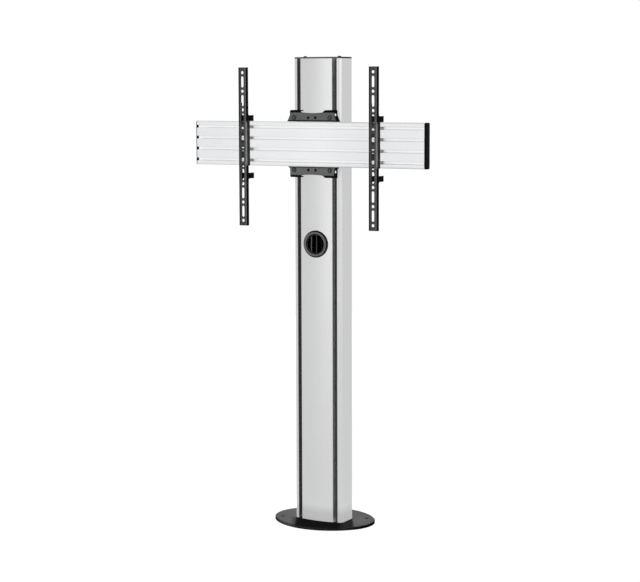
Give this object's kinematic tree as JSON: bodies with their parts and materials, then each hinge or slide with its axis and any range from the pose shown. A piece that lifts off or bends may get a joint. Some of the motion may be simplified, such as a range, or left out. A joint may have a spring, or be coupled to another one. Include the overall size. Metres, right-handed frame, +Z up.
{
  "type": "display floor stand",
  "caption": "Bolt-down floor stand for a flat display: oval plate, bowed aluminium column with two tracks and a cable port, and a grooved rail with slotted vertical display strips.",
  "frame": {"origin": "centre of the floor bolt pattern, on the floor", "axes": "+X to the right seen from the front, -Y to the front where the display hangs, +Z up"},
  "size_m": [0.706, 0.236, 1.28],
  "materials": {
    "black_steel": "satin powder coat",
    "anodised": "satin anodised",
    "black_aluminium": "black anodised",
    "dark_cap": "satin",
    "dark_screw": "black oxide",
    "black_plastic": "matte",
    "dark_steel": "fine textured powder coat",
    "zinc": "zinc plated",
    "black_coat": "satin powder coat"
  },
  "bodies": {
    "stand": {"base_plate": "black_steel", "base_screws": "zinc", "column": "anodised", "track_left": "black_aluminium", "track_right": "black_aluminium", "top_cap": "dark_cap", "cap_screws": "dark_screw", "port_bezel": "black_plastic", "port_ring": "black_plastic"},
    "port_insert": {"port_comb": "black_plastic"},
    "carriage": {"bracket": "dark_steel", "hole_plugs": "black_plastic", "side_screws": "zinc", "clamp_blocks": "black_plastic", "clamp_bolts": "dark_screw", "clamp_nuts": "zinc", "rail": "anodised", "rail_cap_left": "black_plastic", "rail_cap_right": "black_plastic", "rail_bolts": "zinc", "rail_nuts": "zinc"},
    "left_arm": {"strip_left": "black_coat", "shoe_left": "black_coat", "rivets_left": "dark_screw", "keys_left": "zinc", "key_screws_left": "zinc"},
    "right_arm": {"strip_right": "black_coat", "shoe_right": "black_coat", "rivets_right": "dark_screw", "keys_right": "zinc", "key_screws_right": "zinc"}
  },
  "joints": [
    {"name": "carriage_height", "type": "slide", "parent": "stand", "child": "carriage", "axis": [0, 0, 1], "range_m": [-0.14, 0.13]},
    {"name": "left_arm_slide", "type": "slide", "parent": "carriage", "child": "left_arm", "axis": [1, 0, 0], "range_m": [-0.135, 0.141]},
    {"name": "right_arm_slide", "type": "slide", "parent": "carriage", "child": "right_arm", "axis": [1, 0, 0], "range_m": [-0.159, 0.115]},
    {"name": "port_insert_turn", "type": "hinge", "parent": "stand", "child": "port_insert", "pos_m": [0, -0.0505, 0.774], "axis": [0, -1, 0], "continuous": true}
  ]
}
